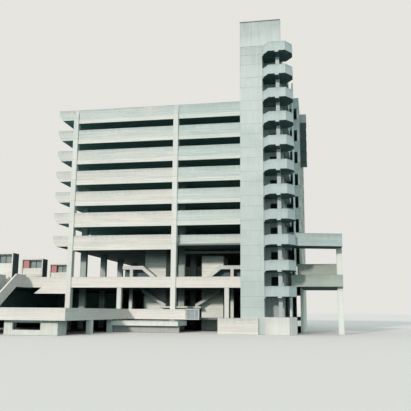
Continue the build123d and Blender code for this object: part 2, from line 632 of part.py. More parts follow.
def make_tower():
    """Hollow shaft, its door wall in jambs and lintels, and the head with its front screen."""
    front = -LANDING_BACK
    back = TOWER_WALL - LANDING_BACK
    wall_end = TOWER_RIGHT - TOWER_WALL
    door_left = (LANDING_LEFT + TOWER_RIGHT - DOOR_WIDTH) / 2
    door_right = door_left + DOOR_WIDTH
    with BuildPart() as shaft:
        with BuildSketch():
            with BuildLine():
                Polyline(*tower_plan(), close=True)
            make_face()
            offset(amount=-TOWER_WALL, kind=Kind.INTERSECTION, mode=Mode.SUBTRACT)
        extrude(amount=HEAD_FLOOR)
        block(LANDING_LEFT, wall_end, front, back, 0, HEAD_FLOOR, Mode.SUBTRACT)
    save(shaft, "tower_shaft")
    with BuildPart() as jambs:
        block(LANDING_LEFT, door_left, front, back, 0, HEAD_FLOOR)
        block(door_right, wall_end, front, back, 0, HEAD_FLOOR)
    save(jambs, "tower_door_jambs")
    with BuildPart() as lintels:
        top = HEAD_FLOOR
        for floor in LANDING_FLOORS[1:]:
            block(door_left, door_right, front, back, floor + DOOR_HEIGHT, top)
            top = floor
        block(door_left, door_right, front, back, 0, top)
    save(lintels, "tower_door_lintels")
    with BuildPart() as head:
        block(TOWER_LEFT, TOWER_RIGHT, -TOWER_FRONT, -TOWER_BACK, HEAD_FLOOR, HEAD_FLOOR + TOWER_WALL)
        block(TOWER_LEFT, LANDING_LEFT, -TOWER_FRONT, -TOWER_BACK, HEAD_FLOOR, TOWER_TOP)
        block(LANDING_LEFT, TOWER_RIGHT, -TOWER_FRONT, HEAD_SCREEN - TOWER_FRONT, HEAD_FLOOR, TOWER_TOP)
        block(TOWER_LEFT + TOWER_WALL, LANDING_LEFT - TOWER_WALL, TOWER_WALL - TOWER_FRONT,
              -TOWER_BACK - TOWER_WALL, HEAD_FLOOR + TOWER_WALL, TOWER_TOP - TOWER_WALL, Mode.SUBTRACT)
    save(head, "tower_head")


def make_duct():
    """A hollow duct on the outside of the end wall, from an upper deck to the roof parapet."""
    right = RIGHT_END + DUCT_WIDTH
    back = DUCT_FRONT + DUCT_DEPTH
    with BuildPart() as duct:
        block(RIGHT_END, right, DUCT_FRONT, back, DUCT_FOOT, ROOF_TOP)
        block(RIGHT_END, right + DUCT_BAND, DUCT_FRONT - DUCT_BAND, back + DUCT_BAND,
              DECK_FLOORS[-1], ROOF_TOP)
        block(RIGHT_END, right - DUCT_WALL, DUCT_FRONT + DUCT_WALL, back - DUCT_WALL,
              DUCT_FOOT + DUCT_WALL, ROOF_TOP - DUCT_WALL, Mode.SUBTRACT)
    save(duct, "east_duct")


def landing_plan():
    """Octagon of a landing, filled out square where it meets the tower."""
    return [(LANDING_LEFT, -LANDING_BACK), (LANDING_LEFT, CORNER_Y - LANDING_FRONT),
            (LANDING_LEFT + CORNER_X, -LANDING_FRONT), (LANDING_RIGHT - CORNER_X, -LANDING_FRONT),
            (LANDING_RIGHT, CORNER_Y - LANDING_FRONT), (LANDING_RIGHT, -LANDING_BACK - CORNER_Y),
            (LANDING_RIGHT - CORNER_X, -LANDING_BACK)]


def landing_shape(bottom, slab, top):
    """One tray: floor with a parapet on every side that doesn't meet the tower."""
    plan_slab(landing_plan(), bottom, top)
    with BuildSketch(Plane.XY.offset(bottom + slab)) as hollow:
        with BuildLine():
            Polyline(*landing_plan(), close=True)
        make_face()
        offset(amount=-LANDING_WALL, kind=Kind.INTERSECTION, mode=Mode.REPLACE)
    extrude(hollow.sketch, amount=top - bottom - slab, mode=Mode.SUBTRACT)
    block(LANDING_LEFT, LANDING_LEFT + 2 * LANDING_WALL, CORNER_Y - LANDING_FRONT + LANDING_WALL,
          -LANDING_BACK, bottom + slab, top, Mode.SUBTRACT)
    block(LANDING_LEFT, LINK_RIGHT - LINK_WALL, -LANDING_BACK - 2 * LANDING_WALL, -LANDING_BACK,
          bottom + slab, top, Mode.SUBTRACT)


def make_landings():
    """Landings cantilevered from a central pier, each with a beam that shows under its front."""
    pier_x0 = LANDING_CENTRE - PIER_WIDTH / 2
    pier_x1 = LANDING_CENTRE + PIER_WIDTH / 2
    pier_y0 = -PIER_Y - PIER_WIDTH / 2
    pier_y1 = -PIER_Y + PIER_WIDTH / 2
    with BuildPart() as landings:
        for number in range(LANDINGS):
            bottom = TOP_LANDING - LANDING_PITCH * number
            landing_shape(bottom, LANDING_SLAB, bottom + LANDING_SLAB + LANDING_PARAPET)
            block(pier_x0, pier_x1, -LANDING_FRONT, pier_y0, bottom - LANDING_BEAM, bottom)
            if number > 0:
                block(pier_x0, pier_x1, pier_y0, pier_y1, bottom, bottom + LANDING_SLAB, Mode.SUBTRACT)
    save(landings, "stair_landings")
    with BuildPart() as pier:
        block(pier_x0, pier_x1, pier_y0, pier_y1, 0, TOP_LANDING)
    save(pier, "landing_pier")
    with BuildPart() as base:
        landing_shape(0, LANDING_SLAB, BASE_HEIGHT)
        block(pier_x0, pier_x1, pier_y0, pier_y1, 0, LANDING_SLAB, Mode.SUBTRACT)
    save(base, "landing_base")


def make_link():
    """Walkways from the landings back to the decks, with side parapets and a thin fin by the wings."""
    left = LINK_RIGHT - LINK_WALL
    with BuildPart() as link:
        block(left, LINK_RIGHT, -LANDING_BACK, -FACE_OUT, 0, PODIUM_UNDER)
        block(FIN_LEFT, FIN_RIGHT, -FACE_OUT - FIN_DEPTH, -FACE_OUT, PODIUM_FLOOR, FIN_TOP)
        for number, floor in enumerate(LANDING_FLOORS[1:], start=1):
            bottom = floor - LANDING_SLAB
            start = BRIDGE_BACK if number == BRIDGE_LANDING else -LANDING_BACK
            block(TOWER_RIGHT, left, -LANDING_BACK, -FACE_OUT - COLUMN_WIDTH / 2, bottom, floor)
            if floor > PODIUM_FLOOR:
                block(left, LINK_RIGHT, -LANDING_BACK, -FACE_OUT, bottom, floor)
                block(left, LINK_RIGHT, start, -FACE_OUT, floor, floor + LANDING_PARAPET)
    save(link, "link_walkways")


def make_bridge():
    """Upper bridge to the right, at the level of one landing, and the pier under its far end."""
    bottom = TOP_LANDING - LANDING_PITCH * BRIDGE_LANDING
    floor = bottom + LANDING_SLAB
    top = floor + BRIDGE_PARAPET
    slant = (LANDING_RIGHT - LINK_RIGHT) * CORNER_Y / CORNER_X
    corner_y = -LANDING_BACK - CORNER_Y
    start = -BRIDGE_START
    end = start + BRIDGE_SKEW
    outline = [(LANDING_RIGHT, start), (EAST_EDGE, end), (EAST_EDGE, end + BRIDGE_WIDTH),
               (LINK_RIGHT, BRIDGE_BACK), (LINK_RIGHT, corner_y + slant), (LANDING_RIGHT, corner_y)]
    with BuildPart() as bridge:
        plan_slab(outline, bottom, floor)
        plan_slab([(LANDING_RIGHT, start), (EAST_EDGE, end), (EAST_EDGE, end + BRIDGE_WALL),
                   (LANDING_RIGHT, start + BRIDGE_WALL)], floor, top)
        plan_slab([(LINK_RIGHT, BRIDGE_BACK - BRIDGE_WALL), (EAST_EDGE, end + BRIDGE_WIDTH - BRIDGE_WALL),
                   (EAST_EDGE, end + BRIDGE_WIDTH), (LINK_RIGHT, BRIDGE_BACK)], floor, top)
    save(bridge, "upper_bridge")
    with BuildPart() as pier:
        block(EAST_EDGE - BRIDGE_PIER_WIDTH, EAST_EDGE, -BRIDGE_PIER_FRONT,
              BRIDGE_PIER_WIDTH - BRIDGE_PIER_FRONT, 0, bottom)
    save(pier, "bridge_pier")


def make_front_low_wall():
    """Low wall in front of the tower's foot."""
    with BuildPart() as wall:
        block(LOW_WALL_LEFT, LOW_WALL_RIGHT, -TOWER_FRONT - WALL, -TOWER_FRONT, 0, LOW_WALL_HEIGHT)
    save(wall, "front_low_wall")


os.makedirs("parts", exist_ok=True)
make_columns()
make_decks()
make_bay_parapets()
make_recessed_parapet()
make_end_parapets()
make_open_storey()
make_flights()
make_core_landings()
make_podium()
make_lower_storey()
make_low_terrace()
make_outside_stair()
make_pods()
make_tower()
make_duct()
make_landings()
make_link()
make_bridge()
make_front_low_wall()
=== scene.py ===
import math
import random

import bmesh
import bpy
from mathutils import Matrix, Vector


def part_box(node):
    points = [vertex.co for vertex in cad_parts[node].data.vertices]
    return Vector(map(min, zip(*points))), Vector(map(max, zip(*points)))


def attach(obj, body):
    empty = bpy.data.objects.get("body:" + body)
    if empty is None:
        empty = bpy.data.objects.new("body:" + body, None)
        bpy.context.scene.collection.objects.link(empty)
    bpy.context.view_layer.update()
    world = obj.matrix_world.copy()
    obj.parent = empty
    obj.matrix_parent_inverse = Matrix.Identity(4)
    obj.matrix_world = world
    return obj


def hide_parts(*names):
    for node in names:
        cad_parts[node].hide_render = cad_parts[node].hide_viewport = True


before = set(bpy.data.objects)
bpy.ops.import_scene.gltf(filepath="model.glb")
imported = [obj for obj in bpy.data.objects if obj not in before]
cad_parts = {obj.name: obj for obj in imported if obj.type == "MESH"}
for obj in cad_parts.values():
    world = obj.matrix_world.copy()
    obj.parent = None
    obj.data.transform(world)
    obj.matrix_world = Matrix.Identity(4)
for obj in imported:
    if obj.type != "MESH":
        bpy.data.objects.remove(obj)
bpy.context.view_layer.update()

# Board-marked concrete, in metres: boards with fins between them, day joints and chamfered arrises
BOARD_WIDTH = 0.055
BOARD_LENGTH = 1.6
FIRST_BOARD = (0.25, 1.0)
NEXT_BOARD = (0.8, 1.15)
SHORTEST_BOARD = 0.15
BOARD_DEPTHS = (0.0015, 0.003, 0.0045)
BOARD_TONES = (-0.07, 0.05)
FIN_WIDTH = 0.0035
FIN_TONE = -0.1
JOINT_WIDTH = 0.014
JOINT_DEPTH = 0.004
JOINT_SLOPE = 0.2
JOINT_TONE = -0.15
ARRIS = 0.007
COPING_ARRIS = 0.004
PANEL_ARRIS = 0.005
SHARP = math.radians(30)
FLAT = math.radians(0.5)
MERGE = 0.00002
SMALLEST_PANEL = 0.02
STEEPEST = 0.35
FACING = 0.6
STRAIGHT_ON = 0.9

# Directions
LEFT = (-1, 0, 0)
RIGHT = (1, 0, 0)
FRONT = (0, -1, 0)
BACK = (0, 1, 0)
UP = Vector((0, 0, 1))

# Levels taken from the part, ceilings from which shade is painted down the walls, and heights below which
# shade is painted on the boards
DECK_NODES = ["deck_1", "deck_2", "deck_3", "deck_4", "deck_5", "deck_6", "roof_deck"]
DECK_FLOORS = [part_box(name)[1].z for name in DECK_NODES]
PODIUM_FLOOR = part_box("podium_slab")[1].z
CEILINGS = (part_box("deck_1")[0].z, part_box("podium_slab")[0].z)
CORE_LIFTS = (1.6, 3.7)
LOW_BEAM_TOP = 4.99
LOW_BEAM_SHADE = 0.62
FORECOURT_UNDER = 0.37
FORECOURT_SHADE = 0.35

# Tower and landings
LANDING_SLAB = 0.1
LIFT_STEP = 0.58
TOWER_GROOVE = 5.52
COPING = 0.012
COPING_DROP = 0.05
COPING_LIP = 0.012
ROOF_DEPTH = 0.1
CORNER_DEPTH = 0.535
CORNER_WIDTH = 0.375

# Window boxes: an apron and a red sheet before the glass, frames, and ribbed sheets on their right sides
GLASS_SETBACK = 0.33
APRON_TOP = 0.395
APRON_SETBACK = 0.06
APRON_PAST = 0.3
APRON_END = 0.04
RED_WIDTH = 0.43
FRAME_BAR = 0.022
MULLIONS = 3
WIDEST_POST = 1.5
CLADDING_RIB = 0.012
CLADDING_PITCH = 0.094
CLADDING_FLAT = 0.35
CLADDING_DROP = 0.02
RIB_PROFILE = ((0.0, False), (0.6, False), (0.7, True), (0.9, True))

# Slate sheets, balcony, nosings and duct
SHEET = 0.012
RAIL_RADIUS = 0.0125
RAILS = 14
POST_RADIUS = 0.018
POST_INSET = 0.05
POSTS = 4
NOSING_RADIUS = 0.009
NOSING_INSET = 0.02
DUCT_BAND = 0.02
DUCT_HEAD = 0.58
DUCT_JOINTS = (0.0, 0.26, 0.52, 0.76)
FLANGE_RADIUS = 0.016
FLANGE_STEP = 0.04
CREASE = 0.006
SMALLEST_CREASED = 0.15

# Colours of painted shade under the soffits and from the ceilings down, and of the paler band along the foot
# of a parapet
SOFFIT_SHADE_COLOUR = (0.014, 0.055, 0.052)
CEILING_SHADE_COLOUR = (0.05, 0.085, 0.08)
BAND_COLOUR = (0.83, 0.83, 0.76)
BAND_DEPTH = 0.68

# Camera, light and floor
CAMERA_PLACE = (8.31, -34.5, 1.2)
CAMERA_YAW = -0.1833
CAMERA_PITCH = 0.1795
CAMERA_ROLL = 0.0084
FOCAL_PIXELS = 582.3756
FRAME_PIXELS = 411
SENSOR = 36.0
FARTHEST = 1000.0
SUN_TRAVEL = (0.344, 1.0, -0.36)
SUN_STRENGTH = 2.0
SUN_COLOUR = (1.0, 0.87, 0.82)
SUN_SPREAD = math.radians(4.0)
SKY_LIGHT = (0.67, 0.81, 0.825)
SKY_SEEN = (0.79, 0.78, 0.74)
FLOOR_SEEN = (0.80, 0.735, 0.70)
FLOOR_BOUNCE = (0.16, 0.22, 0.21)
FLOOR_RADIUS = 400.0


def lerp(a, b, t):
    return a + (b - a) * t


def add_node(tree, kind, inputs=None, **settings):
    """A shader or geometry node with its settings and plain input values."""
    made = tree.nodes.new(kind)
    for name, value in settings.items():
        setattr(made, name, value)
    for name, value in (inputs or {}).items():
        made.inputs[name].default_value = value
    return made


def join(tree, source, target):
    tree.links.new(source, target)


def math_node(tree, operation, first, second):
    """A Math node whose inputs are sockets or plain numbers."""
    made = add_node(tree, "ShaderNodeMath", operation=operation)
    for slot, value in enumerate((first, second)):
        if isinstance(value, (int, float)):
            made.inputs[slot].default_value = value
        else:
            join(tree, value, made.inputs[slot])
    return made.outputs[0]


def plus(tree, first, second):
    return math_node(tree, "ADD", first, second)


def minus(tree, first, second):
    return math_node(tree, "SUBTRACT", first, second)


def times(tree, first, second):
    return math_node(tree, "MULTIPLY", first, second)


def mix_colour(tree, amount, first, second):
    """A colour Mix node; the amount and the colours are sockets or plain values."""
    made = add_node(tree, "ShaderNodeMix", data_type="RGBA", clamp_factor=True)
    for socket, value in ((made.inputs[0], amount), (made.inputs[6], first), (made.inputs[7], second)):
        if isinstance(value, tuple):
            socket.default_value = value + (1.0,)
        else:
            join(tree, value, socket)
    return made.outputs[2]


def ramp(tree, source, low, high):
    """Spread the values between low and high over 0 to 1."""
    made = add_node(tree, "ShaderNodeMapRange", {"From Min": low, "From Max": high}, clamp=True)
    made.interpolation_type = "SMOOTHSTEP"
    join(tree, source, made.inputs["Value"])
    return made.outputs["Result"]


def stretched_noise(tree, stretch, scale, detail, place):
    """Noise on Object coordinates, drawn out by a stretch along each axis."""
    mapping = add_node(tree, "ShaderNodeMapping", {"Scale": stretch, "Location": place})
    coordinates = add_node(tree, "ShaderNodeTexCoord")
    join(tree, coordinates.outputs["Object"], mapping.inputs["Vector"])
    noise = add_node(tree, "ShaderNodeTexNoise", {"Scale": scale, "Detail": detail, "Roughness": 0.6})
    join(tree, mapping.outputs["Vector"], noise.inputs["Vector"])
    return noise.outputs[0]


def new_group(name, inputs, outputs):
    """An empty shader group with named value inputs and outputs."""
    tree = bpy.data.node_groups.new(name, "ShaderNodeTree")
    for label, value in inputs:
        socket = tree.interface.new_socket(label, in_out="INPUT", socket_type="NodeSocketFloat")
        socket.default_value = value
    for label in outputs:
        tree.interface.new_socket(label, in_out="OUTPUT", socket_type="NodeSocketFloat")
    return tree, tree.nodes.new("NodeGroupInput").outputs, tree.nodes.new("NodeGroupOutput").inputs


def height_above_ground(tree):
    """The height of the shaded point."""
    coordinates = add_node(tree, "ShaderNodeTexCoord")
    split = add_node(tree, "ShaderNodeSeparateXYZ")
    join(tree, coordinates.outputs["Object"], split.inputs[0])
    return split.outputs["Z"]


def rain_stains():
    """Dark runs under a top edge, broad soft patches of dirt, a dark rim under the top (a stain, and on the
    forecourt a painted shadow), and greying with height.
    """
    tree, given, result = new_group("rain_stains", [("Below Top", 0.0), ("Run Length", 0.4), ("Patches", 0.5),
                                                    ("Clean Height", 9.0), ("Grey Height", 14.0)],
                                    ["Runs", "Patch", "Rim", "Greying"])
    broad_runs = stretched_noise(tree, (5.5, 5.5, 0.35), 1.0, 5.0, (3.1, 1.7, 0.0))
    fine_runs = stretched_noise(tree, (26.0, 26.0, 0.9), 1.0, 3.0, (0.3, 5.7, 2.0))
    both = plus(tree, times(tree, broad_runs, 0.62), times(tree, fine_runs, 0.38))
    share = math_node(tree, "DIVIDE", given["Below Top"], given["Run Length"])
    fade = minus(tree, 1.0, math_node(tree, "MINIMUM", share, 1.0))
    level = plus(tree, both, times(tree, fade, 0.3))
    runs = times(tree, ramp(tree, level, 0.52, 0.86), math_node(tree, "POWER", fade, 0.6))
    join(tree, runs, result["Runs"])
    patch = stretched_noise(tree, (0.55, 0.55, 1.1), 1.0, 6.0, (9.0, 2.0, 4.0))
    join(tree, times(tree, ramp(tree, patch, 0.42, 0.72), given["Patches"]), result["Patch"])
    rim_noise = stretched_noise(tree, (3.0, 3.0, 8.0), 1.0, 5.0, (0.0, 0.0, 0.0))
    rim = times(tree, minus(tree, 0.045, given["Below Top"]), 14.0)
    rim = plus(tree, rim, minus(tree, rim_noise, 0.5))
    join(tree, ramp(tree, rim, 0.0, 0.7), result["Rim"])
    rise = add_node(tree, "ShaderNodeMapRange", clamp=True)
    join(tree, height_above_ground(tree), rise.inputs["Value"])
    join(tree, given["Clean Height"], rise.inputs["From Min"])
    join(tree, given["Grey Height"], rise.inputs["From Max"])
    cloud = stretched_noise(tree, (0.4, 0.4, 0.9), 1.0, 5.0, (1.0, 6.0, 3.0))
    join(tree, times(tree, rise.outputs["Result"], ramp(tree, cloud, 0.15, 0.6)), result["Greying"])
    return tree


def board_grain():
    """Wood grain printed in the concrete, lying along the boards or standing up, with small blow holes."""
    tree, given, result = new_group("board_grain", [("Upright", 0.0)], ["Height", "Holes", "Streak"])
    lying = stretched_noise(tree, (1.4, 1.4, 75.0), 1.0, 4.0, (0.0, 0.0, 0.0))
    standing = stretched_noise(tree, (75.0, 75.0, 1.4), 1.0, 4.0, (0.0, 0.0, 0.0))
    chosen = add_node(tree, "ShaderNodeMix", data_type="FLOAT")
    join(tree, given["Upright"], chosen.inputs[0])
    join(tree, lying, chosen.inputs[2])
    join(tree, standing, chosen.inputs[3])
    holes = stretched_noise(tree, (1.0, 1.0, 1.0), 55.0, 2.0, (0.0, 0.0, 0.0))
    join(tree, chosen.outputs[0], result["Height"])
    join(tree, ramp(tree, holes, 0.68, 0.76), result["Holes"])
    join(tree, ramp(tree, chosen.outputs[0], 0.3, 0.7), result["Streak"])
    return tree


def soffit_shade_and_damp():
    """Painted shade, with some damp staining, on the faces that look down, lighter in a few clouds."""
    tree, given, result = new_group("soffit_shade_and_damp", [("Strength", 0.8)], ["Mask"])
    geometry = add_node(tree, "ShaderNodeNewGeometry")
    split = add_node(tree, "ShaderNodeSeparateXYZ")
    join(tree, geometry.outputs["Normal"], split.inputs[0])
    down = ramp(tree, times(tree, split.outputs["Z"], -1.0), 0.3, 0.85)
    cloud = stretched_noise(tree, (0.8, 0.8, 0.8), 1.0, 5.0, (4.0, 8.0, 1.0))
    uneven = minus(tree, 1.0, times(tree, ramp(tree, cloud, 0.45, 0.75), 0.25))
    join(tree, times(tree, times(tree, down, uneven), given["Strength"]), result["Mask"])
    return tree


def shade_from_ceiling():
    """Painted shade on a wall, from a ceiling down."""
    tree, given, result = new_group("shade_from_ceiling", [("Ceiling", 5.0), ("Reach", 1.1)], ["Mask"])
    drop = minus(tree, given["Ceiling"], height_above_ground(tree))
    share = math_node(tree, "DIVIDE", drop, given["Reach"])
    under = math_node(tree, "GREATER_THAN", share, -0.05)
    cloud = stretched_noise(tree, (1.6, 1.6, 1.6), 1.0, 4.0, (2.0, 5.0, 0.0))
    level = plus(tree, share, times(tree, minus(tree, cloud, 0.5), 0.35))
    clean = ramp(tree, level, 0.15, 1.0)
    join(tree, times(tree, under, minus(tree, 1.0, clean)), result["Mask"])
    return tree


STAINS = rain_stains()
GRAIN = board_grain()
SOFFIT_SHADE = soffit_shade_and_damp()
CEILING_SHADE = shade_from_ceiling()


def use_group(tree, group, **values):
    """A group node with its plain input values."""
    made = tree.nodes.new("ShaderNodeGroup")
    made.node_tree = group
    for name, value in values.items():
        made.inputs[name.replace("_", " ")].default_value = value
    return made


def new_material(name):
    """An empty material, its node tree and its shader."""
    material = bpy.data.materials.new(name)
    material.use_nodes = True
    return material, material.node_tree, material.node_tree.nodes["Principled BSDF"]


def shade_of(colour, share):
    """A darker shade of a colour."""
    return tuple(part * share for part in colour)


def concrete(name, pale, dark, upright=0.0, run_length=0.4, patches=0.5, runs=0.5, relief=0.5,
             greying=(9.0, 15.0), rim=0.25, shade_under_soffit=0.8, band=0.0, shade_under_ceiling=0.0, inside=None,
             shade_under_soffit_colour=SOFFIT_SHADE_COLOUR):
    """Cast concrete: a pale colour, a darker one for dirt, painted shade, and the print of the boards."""
    material, tree, shader = new_material(name)
    tone = add_node(tree, "ShaderNodeAttribute", attribute_name="board_tone_and_painted_shade")
    depth = add_node(tree, "ShaderNodeAttribute", attribute_name="below_top")
    stains = use_group(tree, STAINS, Run_Length=run_length, Patches=patches,
                       Clean_Height=greying[0], Grey_Height=greying[1])
    join(tree, depth.outputs["Fac"], stains.inputs["Below Top"])
    grain = use_group(tree, GRAIN, Upright=upright)
    colour = pale
    for mask, strength, share in ((grain.outputs["Streak"], 0.14, 1.0),
                                  (stains.outputs["Greying"], 0.75, 1.0),
                                  (stains.outputs["Patch"], 0.8, 1.0),
                                  (stains.outputs["Runs"], runs, 0.5),
                                  (stains.outputs["Rim"], rim, 0.65),
                                  (grain.outputs["Holes"], 0.35, 0.4)):
        colour = mix_colour(tree, times(tree, mask, strength), colour, shade_of(dark, share))
    if band:
        lower = ramp(tree, depth.outputs["Fac"], BAND_DEPTH - 0.005, BAND_DEPTH + 0.02)
        colour = mix_colour(tree, times(tree, lower, band), colour, BAND_COLOUR)
    # Painted shade on the walls from the two ceilings down
    if shade_under_ceiling:
        first, second = (use_group(tree, CEILING_SHADE, Ceiling=height).outputs["Mask"] for height in CEILINGS)
        ceiling_shade_mask = math_node(tree, "MAXIMUM", first, second)
        colour = mix_colour(tree, times(tree, ceiling_shade_mask, shade_under_ceiling), colour, CEILING_SHADE_COLOUR)
    # Painted shade on the faces that look into a closed room
    if inside:
        room = add_node(tree, "ShaderNodeAttribute", attribute_name="inside")
        colour = mix_colour(tree, room.outputs["Fac"], colour, inside)
    # Painted shade, with some damp staining, on the faces that look down
    under = use_group(tree, SOFFIT_SHADE, Strength=shade_under_soffit)
    colour = mix_colour(tree, under.outputs["Mask"], colour, shade_under_soffit_colour)
    lit = add_node(tree, "ShaderNodeVectorMath", operation="SCALE")
    join(tree, colour, lit.inputs[0])
    join(tree, plus(tree, 1.0, tone.outputs["Fac"]), lit.inputs["Scale"])
    join(tree, lit.outputs[0], shader.inputs["Base Color"])
    join(tree, plus(tree, 0.78, times(tree, grain.outputs["Streak"], 0.14)), shader.inputs["Roughness"])
    bump = add_node(tree, "ShaderNodeBump", {"Strength": relief, "Distance": 0.004})
    join(tree, minus(tree, grain.outputs["Height"], grain.outputs["Holes"]), bump.inputs["Height"])
    join(tree, bump.outputs["Normal"], shader.inputs["Normal"])
    shader.inputs["Specular IOR Level"].default_value = 0.3
    return material


def painted(name, colour, worn, rough=0.5, metal=0.0, band=None):
    """Painted or sheet metal, dull in patches and under the top edge, with a pale band above a height."""
    material, tree, shader = new_material(name)
    depth = add_node(tree, "ShaderNodeAttribute", attribute_name="below_top")
    stains = use_group(tree, STAINS, Run_Length=0.5, Patches=0.7)
    join(tree, depth.outputs["Fac"], stains.inputs["Below Top"])
    mask = math_node(tree, "MAXIMUM", stains.outputs["Patch"], stains.outputs["Runs"])
    if band:
        height, pale, pale_worn = band
        above = ramp(tree, height_above_ground(tree), height - 0.002, height + 0.002)
        colour = mix_colour(tree, above, colour, pale)
        worn = mix_colour(tree, above, worn, pale_worn)
    join(tree, mix_colour(tree, mask, colour, worn), shader.inputs["Base Color"])
    join(tree, plus(tree, rough, times(tree, mask, 0.2)), shader.inputs["Roughness"])
    shader.inputs["Metallic"].default_value = metal
    return material


def window_glass():
    """Dull grey-green glass with a film of dust."""
    material, tree, shader = new_material("window_glass")
    dust = stretched_noise(tree, (1.5, 1.5, 3.0), 1.0, 4.0, (2.0, 0.0, 1.0))
    colour = mix_colour(tree, ramp(tree, dust, 0.35, 0.75), (0.19, 0.27, 0.28), (0.27, 0.34, 0.33))
    join(tree, colour, shader.inputs["Base Color"])
    join(tree, plus(tree, 0.12, times(tree, dust, 0.25)), shader.inputs["Roughness"])
    shader.inputs["Specular IOR Level"].default_value = 0.6
    return material


FACADE = concrete("facade_concrete", (0.79, 0.745, 0.685), (0.55, 0.645, 0.62), runs=0.35,
                  greying=(7.0, 14.0), band=0.6)
GREY_FACADE = concrete("grey_facade_concrete", (0.675, 0.72, 0.68), (0.50, 0.61, 0.585), runs=0.35,
                       greying=(5.0, 14.0), band=0.55)
COLUMN = concrete("column_concrete", (0.78, 0.78, 0.725), (0.60, 0.67, 0.63), upright=1.0,
                  run_length=0.8, patches=0.35, runs=0.2)
# Its inside colour is painted shade on the faces inside the shaft and its door openings
TOWER = concrete("tower_concrete", (0.665, 0.715, 0.69), (0.48, 0.55, 0.53), upright=1.0,
                 run_length=2.5, patches=0.6, runs=0.4, greying=(14.0, 1.0), rim=0.1,
                 inside=(0.10, 0.15, 0.145))
LANDING = concrete("landing_concrete", (0.59, 0.665, 0.655), (0.42, 0.50, 0.485), upright=1.0,
                   run_length=0.35, patches=0.45, runs=0.3, greying=(14.0, 0.0), shade_under_soffit=0.95)
# Paler than the concrete around it: painted light on walkway parapets that stand in shade
LINK = concrete("link_concrete", (0.86, 0.93, 0.91), (0.64, 0.73, 0.71), upright=1.0,
                run_length=0.35, patches=0.3, runs=0.2)
LOW_WALL = concrete("low_wall_concrete", (0.85, 0.80, 0.745), (0.61, 0.67, 0.62), run_length=0.5,
                    patches=0.35, runs=0.2)
# Its inside colour is painted shade on the faces inside the lower storey
LOWER_STOREY = concrete("lower_storey_concrete", (0.73, 0.75, 0.70), (0.52, 0.60, 0.55),
                        run_length=0.5, patches=0.35, runs=0.2, inside=(0.22, 0.40, 0.37))
EAST_WALL = concrete("east_wall_concrete", (0.46, 0.52, 0.455), (0.33, 0.39, 0.34), run_length=0.5,
                     patches=0.45, runs=0.3)
UNDERCROFT = concrete("undercroft_concrete", (0.83, 0.85, 0.79), (0.52, 0.60, 0.53), upright=1.0,
                      run_length=0.3, runs=0.3)
# A strong rim: painted shadow of the parapet above on the top of the slab's edge
FORECOURT = concrete("forecourt_concrete", (0.88, 0.90, 0.845), (0.58, 0.64, 0.57), upright=1.0,
                     run_length=0.3, runs=0.3, rim=0.8)
BRIDGE = concrete("bridge_concrete", (0.50, 0.59, 0.57), (0.30, 0.38, 0.35), run_length=0.5,
                  patches=0.6, runs=0.35, shade_under_soffit=1.0)
# Decks and lower floors are given dark colours, teal under the upper slabs: painted shade of the deep storeys
DECK = concrete("deck_concrete", (0.38, 0.42, 0.40), (0.25, 0.29, 0.28), run_length=1.0,
                patches=0.7, runs=0.0, relief=0.3, shade_under_soffit=1.0, shade_under_soffit_colour=(0.15, 0.38, 0.36))
LOW_DECK = concrete("low_deck_concrete", (0.25, 0.285, 0.27), (0.16, 0.19, 0.185), run_length=1.0,
                    patches=0.7, runs=0.0, relief=0.3, shade_under_soffit=1.0)
# Darker than the front columns and darkened from the ceilings down: painted shade inside the storeys
INNER = concrete("inner_concrete", (0.50, 0.58, 0.53), (0.31, 0.38, 0.35), upright=1.0,
                 run_length=1.0, patches=0.6, runs=0.2, shade_under_ceiling=0.85)
# Darkened from the ceilings down: painted shade inside the storeys
CORE = concrete("core_concrete", (0.90, 0.94, 0.87), (0.64, 0.72, 0.66), run_length=1.0,
                patches=0.45, runs=0.2, shade_under_ceiling=0.9)
CLADDING = painted("dark_cladding", (0.035, 0.07, 0.068), (0.06, 0.095, 0.09), rough=0.6)
RED_PANEL = painted("red_panel", (0.66, 0.20, 0.19), (0.52, 0.24, 0.22))
SLATE_PANEL = painted("slate_panel", (0.13, 0.20, 0.21), (0.10, 0.155, 0.16), rough=0.6)
APRON = painted("apron_panel", (0.86, 0.85, 0.78), (0.72, 0.73, 0.66), rough=0.6)
DUCT = painted("duct_sheet", (0.03, 0.065, 0.07), (0.06, 0.10, 0.10), rough=0.55, metal=0.3,
               band=(13.52, (0.50, 0.56, 0.55), (0.38, 0.45, 0.44)))
FLASHING = painted("lead_flashing", (0.2, 0.23, 0.24), (0.14, 0.16, 0.16), metal=0.6)
RAIL = painted("rail_paint", (0.68, 0.76, 0.76), (0.55, 0.62, 0.62), rough=0.45)
GLASS = window_glass()


def clean_copy(node):
    """A merged copy of a CAD node's mesh with its flat faces whole again."""
    mesh = bmesh.new()
    mesh.from_mesh(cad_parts[node].data)
    bmesh.ops.remove_doubles(mesh, verts=mesh.verts, dist=MERGE)
    bmesh.ops.dissolve_limit(mesh, angle_limit=FLAT, verts=mesh.verts, edges=mesh.edges)
    return mesh


def chamfer(mesh, width=ARRIS):
    """Take the sharp outer edges off."""
    sharp = [edge for edge in mesh.edges
             if len(edge.link_faces) == 2 and edge.calc_face_angle_signed() > SHARP]
    bmesh.ops.bevel(mesh, geom=sharp, offset=width, segments=1, profile=0.5, affect="EDGES",
                    clamp_overlap=True)


def turn_outwards(mesh):
    """Make the faces of a closed mesh look outwards."""
    bmesh.ops.recalc_face_normals(mesh, faces=mesh.faces)


